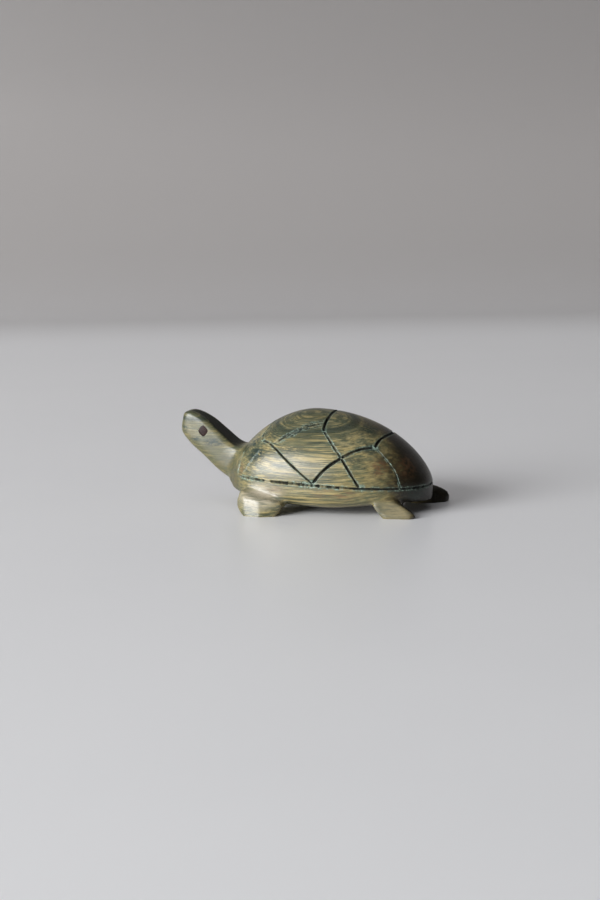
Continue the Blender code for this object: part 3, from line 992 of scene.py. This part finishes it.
def streaked(s, wood, noises, lengthwise, streak):
    name, limits, strength, tint = streak
    return s.tinted(wood, s.spread(noises[name], *limits), s.times(lengthwise, strength), tint)


def streaked_wood(s, noises, x):
    """Olive wood with broad bands, streaks along the block, and cloudier wood where its end shows."""
    wood = s.mix(s.spread(noises["bands"], 0.36, 0.64), colour(90, 93, 66), colour(118, 112, 78))
    wood = s.tinted(wood, s.spread(noises["broad"], 0.50, 0.66), 0.42, colour(54, 72, 64))
    lengthwise = s.spread(s.attribute("end_grain"), *END_GRAIN_FADE)
    lengthwise = s.times(lengthwise, s.spread(x, *REAR_FADE))
    end_wood = s.mix(s.spread(noises["blotches"], 0.38, 0.62), colour(78, 86, 66), colour(142, 126, 84))
    wood = s.mix(s.spread(lengthwise, 0.3, 1.0, 0.6, 0.12), wood, end_wood)
    for streak in STREAKS:
        wood = streaked(s, wood, noises, lengthwise, streak)
    return wood, lengthwise


def ringed_wood(s, wood, x, layer):
    """The dome cuts the upper layers nearly level, so they show as ovals round its top; painted shade darkens
    the top and front.
    """
    top = s.spread(layer, 27.5, 30.0)
    # Painted shade on the top of the dome.
    wood = s.tinted(wood, top, 0.30, colour(64, 66, 42))
    # Painted shade towards the front, on the chest, neck and head.
    wood = s.tinted(wood, s.spread(x, -12.0, -24.0), 0.45, colour(78, 80, 56))
    rings = s.noise(s.combine(x, layer, 3.0), *RING_NOISE)
    wood = s.tinted(wood, s.times(top, s.spread(rings, 0.47, 0.53)), 0.72, colour(46, 54, 36))
    ring = s.maths("ABSOLUTE", s.minus(layer, RING_LAYER))
    ring = s.spread(ring, RING_HALF_THICKNESS * 1.5, RING_HALF_THICKNESS * 0.4)
    return s.tinted(wood, ring, 0.92, colour(36, 46, 33))


def heartwood_and_rear_shade(s, wood, noises, x, z):
    """Towards the rear the heartwood is browner, then painted nearly black as shade on the end turned from
    the window, with a soft wavering border.
    """
    slow = s.times(s.minus(noises["slow"], 0.5), REAR_SLOW_WAVER)
    fine = s.times(s.minus(noises["flecks"], 0.5), REAR_FINE_WAVER)
    lean = s.times(s.minus(s.maths("MAXIMUM", z, REAR_LOWEST), REAR_LEVEL), REAR_LEAN)
    rearward = s.plus(x, slow, fine, lean)
    wood = s.tinted(wood, s.spread(rearward, *BROWN_REAR_X), 0.75, colour(84, 64, 38))
    # Nearly black: darker heartwood under painted shade on the end turned away from the window.
    return s.tinted(wood, s.spread(rearward, *BLACK_REAR_X), 0.94, colour(22, 17, 11))


def patched_wood(s, wood, noises):
    """Blue green clouds, then patches of paler wood with painted sheen, browner and redder wood, then painted
    shade on the crown of the head.
    """
    clouds = s.spread(noises["mottles"], 0.42, 0.50, 0.15, 1.2)
    wood = s.mix(s.times(s.attribute("green_patch"), clouds, clamp=True), wood, colour(28, 44, 37))
    flecks = noises["flecks"]
    for name, light, shade in PATCH_WOODS:
        wood = s.mix(s.attribute(name), wood, s.mix(s.spread(flecks, 0.35, 0.65), light, shade))
    red = s.times(s.attribute("red_patch"), s.spread(flecks, 0.40, 0.60), clamp=True)
    wood = s.mix(red, wood, colour(116, 82, 56))
    # Painted shade on the crown of the head, nearly black where its flat faces up and back.
    wood = s.tinted(wood, s.attribute("painted_shade_crown"), 0.92, colour(14, 16, 9))
    return s.tinted(wood, s.spread(flecks, 0.58, 0.70), 0.40, colour(62, 74, 62))


def verawood():
    """Polished verawood: streaks of gold, olive and blue green, growth rings, and a rear end of brown
    heartwood under painted shade.
    """
    s = Shading("polished_verawood")
    place = s.place()
    x, y, z = s.split(place)
    noises = {name: s.noise(place, *given) for name, given in WOOD_NOISES.items()}
    drift = s.plus(s.times(noises["slow"], SLOW_DRIFT), s.times(noises["fine"], FINE_DRIFT))
    drift = s.minus(drift, MEAN_DRIFT)
    level = s.minus(z, s.plus(s.times(x, LAYER_LEAN_X), s.times(y, LAYER_LEAN_Y)))
    layer = s.plus(level, s.times(drift, RING_DRIFT))
    sideways = s.plus(y, s.times(z, LAYER_LEAN_Y))
    grain = s.combine(s.times(x, GRAIN_STRETCH), sideways, s.plus(level, drift))
    noises.update({name: s.noise(grain, *given) for name, given in GRAIN_NOISES.items()})
    wood, lengthwise = streaked_wood(s, noises, x)
    wood = ringed_wood(s, wood, x, layer)
    wood = heartwood_and_rear_shade(s, wood, noises, x, z)
    wood = patched_wood(s, wood, noises)
    wood = streaked(s, wood, noises, lengthwise, HAIRS)
    fibres, speckle = noises["fibres"], noises["speckle"]
    wood = s.tinted(wood, s.spread(fibres, 0.40, 0.75), 0.25, colour(58, 60, 42))
    dashes = s.spread(noises["pores"], 0.64, 0.72)
    wood = s.tinted(wood, dashes, 0.40, colour(46, 48, 36))
    # Torn fibres along the cuts are pale blue green, and the bottoms of the cuts are nearly black.
    torn = s.attribute("torn_edge")
    dark = s.attribute("dark_line")
    pale = s.mix(s.spread(speckle, 0.40, 0.66), colour(70, 98, 86), colour(154, 174, 158))
    torn_now = s.times(torn, s.spread(speckle, 0.28, 0.60, 0.35, 1.0), clamp=True)
    wood = s.mix(torn_now, wood, pale)
    wood = s.mix(s.times(dark, 0.96, clamp=True), wood, colour(14, 20, 18))
    s.put(s.shader, "Base Color", wood)
    polish = s.plus(s.times(fibres, 0.14), s.times(dashes, 0.10), POLISH, s.times(torn_now, 0.35))
    for name, duller in DULLER:
        polish = s.plus(polish, s.times(s.attribute(name), duller))
    s.put(s.shader, "Roughness", s.maths("ADD", polish, s.times(dark, DULL_CUT), clamp=True))
    height = s.minus(s.times(fibres, 0.35), s.times(dashes, 0.6))
    height = s.plus(height, s.times(s.times(speckle, torn), 1.2))
    s.put(s.shader, "Normal", s.bump(height, 0.35, 0.08 * MM))
    return s.material


def eye_wood():
    """Dark reddish brown wood, cut across the grain and polished."""
    s = Shading("dark_inlay")
    place = s.place()
    grain = s.noise(place, (1.2, 1.2, 5.0), 3.0, 0.6)
    pores = s.spread(s.noise(place, (5.0, 5.0, 9.0), 1.0), 0.60, 0.70)
    wood = s.mix(s.spread(grain, 0.3, 0.7), colour(34, 22, 21), colour(60, 43, 40))
    s.put(s.shader, "Base Color", s.tinted(wood, pores, 0.5, colour(24, 15, 15)))
    s.put(s.shader, "Roughness", s.spread(grain, 0.2, 0.8, 0.40, 0.56))
    s.put(s.shader, "Normal", s.bump(grain, 0.2, 0.05 * MM))
    s.shader.inputs["Specular IOR Level"].default_value = 0.2
    return s.material


def make_turtle(material):
    data = sanded_body()
    data.name = "turtle_body"
    data.materials.clear()
    lines = all_lines()
    split_near_lines(data, lines)
    carve_lines(data, lines)
    cloud_patches(data)
    data.materials.append(material)
    data.shade_smooth()
    data.set_sharp_from_angle(angle=radians(CRISP_ANGLE))
    turtle = bpy.data.objects.new("turtle_body", data)
    bpy.context.scene.collection.objects.link(turtle)
    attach(turtle, "root")
    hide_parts("carved_turtle")


def make_eyes(material):
    rows = [(EYE_FACE_Y - EYE_LENGTH + SOCKET_GAP, 1.0), (EYE_FACE_Y - EYE_EDGE_ROUNDING, 1.0)]
    for size in EYE_FACE_SIZES:
        distance = EYE_FACE_Y + EYE_CROWN * (1.0 - size**2) - EYE_EDGE_ROUNDING / 2 * size**6
        rows.append((distance, size))
    for side, word in ((LEFT, "left"), (RIGHT, "right")):
        eye = eye_bar("inlaid_eye_" + word, side, 0.0, rows)
        eye.data.materials.append(material)
        eye.data.shade_smooth()
        eye.data.set_sharp_from_angle(angle=radians(CRISP_ANGLE))
        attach(eye, "root")
        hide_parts("eye_" + word)


# Floor and backdrop: one sheet that curves up behind the turtle, square to the camera, pale where the
# turtle stands and greyer where it rises.
FLOOR_BEHIND = 600.0
FLOOR_IN_FRONT = 1500.0
COVE_RADIUS = 160.0
WALL_HEIGHT = 1400.0
SHEET_HALF_WIDTH = 2600.0
COVE_STEPS = 24
GREY_STARTS = 460.0
GREY_ENDS = 740.0
DARKER_TO_HEIGHT = 420.0
FLOOR_COLOUR = (0.80, 0.80, 0.81, 1.0)
FLOOR_CLOUD_COLOUR = colour(190, 192, 196)
FLOOR_CLOUD_STRENGTH = 0.06
FLOOR_ROUGHNESS = 0.30
WALL_COLOUR = (0.32, 0.303, 0.296, 1.0)
WALL_TOP_COLOUR = (0.19, 0.182, 0.178, 1.0)


def sheet_material():
    """Pale polished stone, with faint clouds, that turns grey towards the wall."""
    s = Shading("pale_stone")
    place = s.node("ShaderNodeTexCoord").outputs["Object"]
    _, depth, height = s.split(place)
    cloud = s.spread(s.noise(place, (6.0, 6.0, 6.0), 4.0, 0.55), 0.3, 0.7, 0.0, FLOOR_CLOUD_STRENGTH)
    stone = s.mix(cloud, FLOOR_COLOUR, FLOOR_CLOUD_COLOUR)
    wall = s.mix(s.spread(height, 0.0, DARKER_TO_HEIGHT * MM), WALL_COLOUR, WALL_TOP_COLOUR)
    s.put(s.shader, "Base Color", s.mix(s.spread(depth, GREY_STARTS * MM, GREY_ENDS * MM), stone, wall))
    s.shader.inputs["Roughness"].default_value = FLOOR_ROUGHNESS
    return s.material


def make_stage():
    profile = [(-FLOOR_IN_FRONT, 0.0), (0.0, 0.0)]
    for k in range(COVE_STEPS + 1):
        turn = pi / 2 * k / COVE_STEPS
        profile.append((FLOOR_BEHIND + COVE_RADIUS * sin(turn), COVE_RADIUS * (1 - cos(turn))))
    profile.append((FLOOR_BEHIND + COVE_RADIUS, WALL_HEIGHT))
    mesh = bmesh.new()
    rows = []
    for depth, height in profile:
        ends = (Vector((side * SHEET_HALF_WIDTH, depth, height)) * MM for side in (-1, 1))
        rows.append([mesh.verts.new(place) for place in ends])
    for (a, b), (d, c) in zip(rows, rows[1:]):
        mesh.faces.new((a, b, c, d))
    sheet = mesh_object("studio_sheet", mesh)
    sheet.rotation_euler = (0.0, 0.0, radians(CAMERA_YAW))
    sheet.data.shade_smooth()
    sheet.data.materials.append(sheet_material())


# The window stands to the left of the camera: its bearing from the turtle, height of its middle as an angle,
# distance, width and height, and the height above the floor that it faces.
WINDOW_BEARING = 38.0
WINDOW_RISE = 18.0
WINDOW_DISTANCE = 2400.0
WINDOW_SIZE = (1700.0, 1350.0)
WINDOW_AIM_HEIGHT = 15.0
WINDOW_POWER = 95.0
WINDOW_TINT = (0.99, 1.0, 1.01)
# The room's light comes from this way, and fades between these cosines of the angle to it.
CEILING_WAY = (-0.50, -0.30, 0.812)
CEILING_FADE = (0.35, 0.75)
CEILING_LIGHT = 0.50
FLOOR_LEVEL_LIGHT = 0.02
ROOM_TINT = (1.0, 1.0, 1.02, 1.0)


def make_window():
    bearing, rise = radians(WINDOW_BEARING), radians(WINDOW_RISE)
    toward = Vector((-sin(bearing) * cos(rise), -cos(bearing) * cos(rise), sin(rise)))
    middle = toward * WINDOW_DISTANCE
    light = bpy.data.lights.new("window", "AREA")
    light.shape = "RECTANGLE"
    light.size, light.size_y = (side * MM for side in WINDOW_SIZE)
    light.energy = WINDOW_POWER
    light.color = WINDOW_TINT
    window = bpy.data.objects.new("window", light)
    bpy.context.scene.collection.objects.link(window)
    window.location = middle * MM
    aim = Vector((0.0, 0.0, WINDOW_AIM_HEIGHT))
    window.rotation_euler = (aim - middle).to_track_quat("-Z", "Y").to_euler()


def make_room_light():
    world = bpy.data.worlds.new("room")
    world.use_nodes = True
    nodes, links = world.node_tree.nodes, world.node_tree.links
    toward = nodes.new("ShaderNodeVectorMath")
    toward.operation = "DOT_PRODUCT"
    links.new(nodes.new("ShaderNodeTexCoord").outputs["Generated"], toward.inputs[0])
    toward.inputs[1].default_value = CEILING_WAY
    fade = nodes.new("ShaderNodeMapRange")
    fade.interpolation_type = "SMOOTHSTEP"
    limits = ("From Min", "From Max", "To Min", "To Max")
    for socket, value in zip(limits, (*CEILING_FADE, FLOOR_LEVEL_LIGHT, CEILING_LIGHT)):
        fade.inputs[socket].default_value = value
    links.new(toward.outputs["Value"], fade.inputs["Value"])
    links.new(fade.outputs[0], nodes["Background"].inputs["Strength"])
    nodes["Background"].inputs["Color"].default_value = ROOM_TINT
    bpy.context.scene.world = world


def make_camera():
    pitch, yaw, roll = radians(CAMERA_PITCH), radians(CAMERA_YAW), radians(CAMERA_ROLL)
    forward = Vector((-sin(yaw) * cos(pitch), cos(yaw) * cos(pitch), -sin(pitch)))
    level = Vector((cos(yaw), sin(yaw), 0.0))
    upright = level.cross(forward)
    right = cos(roll) * level - sin(roll) * upright
    up = cos(roll) * upright + sin(roll) * level
    data = bpy.data.cameras.new("photo_camera")
    data.lens = CAMERA_LENS
    data.sensor_width = CAMERA_SENSOR
    camera = bpy.data.objects.new("photo_camera", data)
    bpy.context.scene.collection.objects.link(camera)
    turn = Matrix((right, up, -forward)).transposed().to_4x4()
    turn.translation = Vector(CAMERA_PLACE) * MM
    camera.matrix_world = turn
    bpy.context.scene.camera = camera


make_camera()
make_turtle(verawood())
make_eyes(eye_wood())
make_stage()
make_window()
make_room_light()
bpy.context.scene.view_settings.view_transform = "Standard"
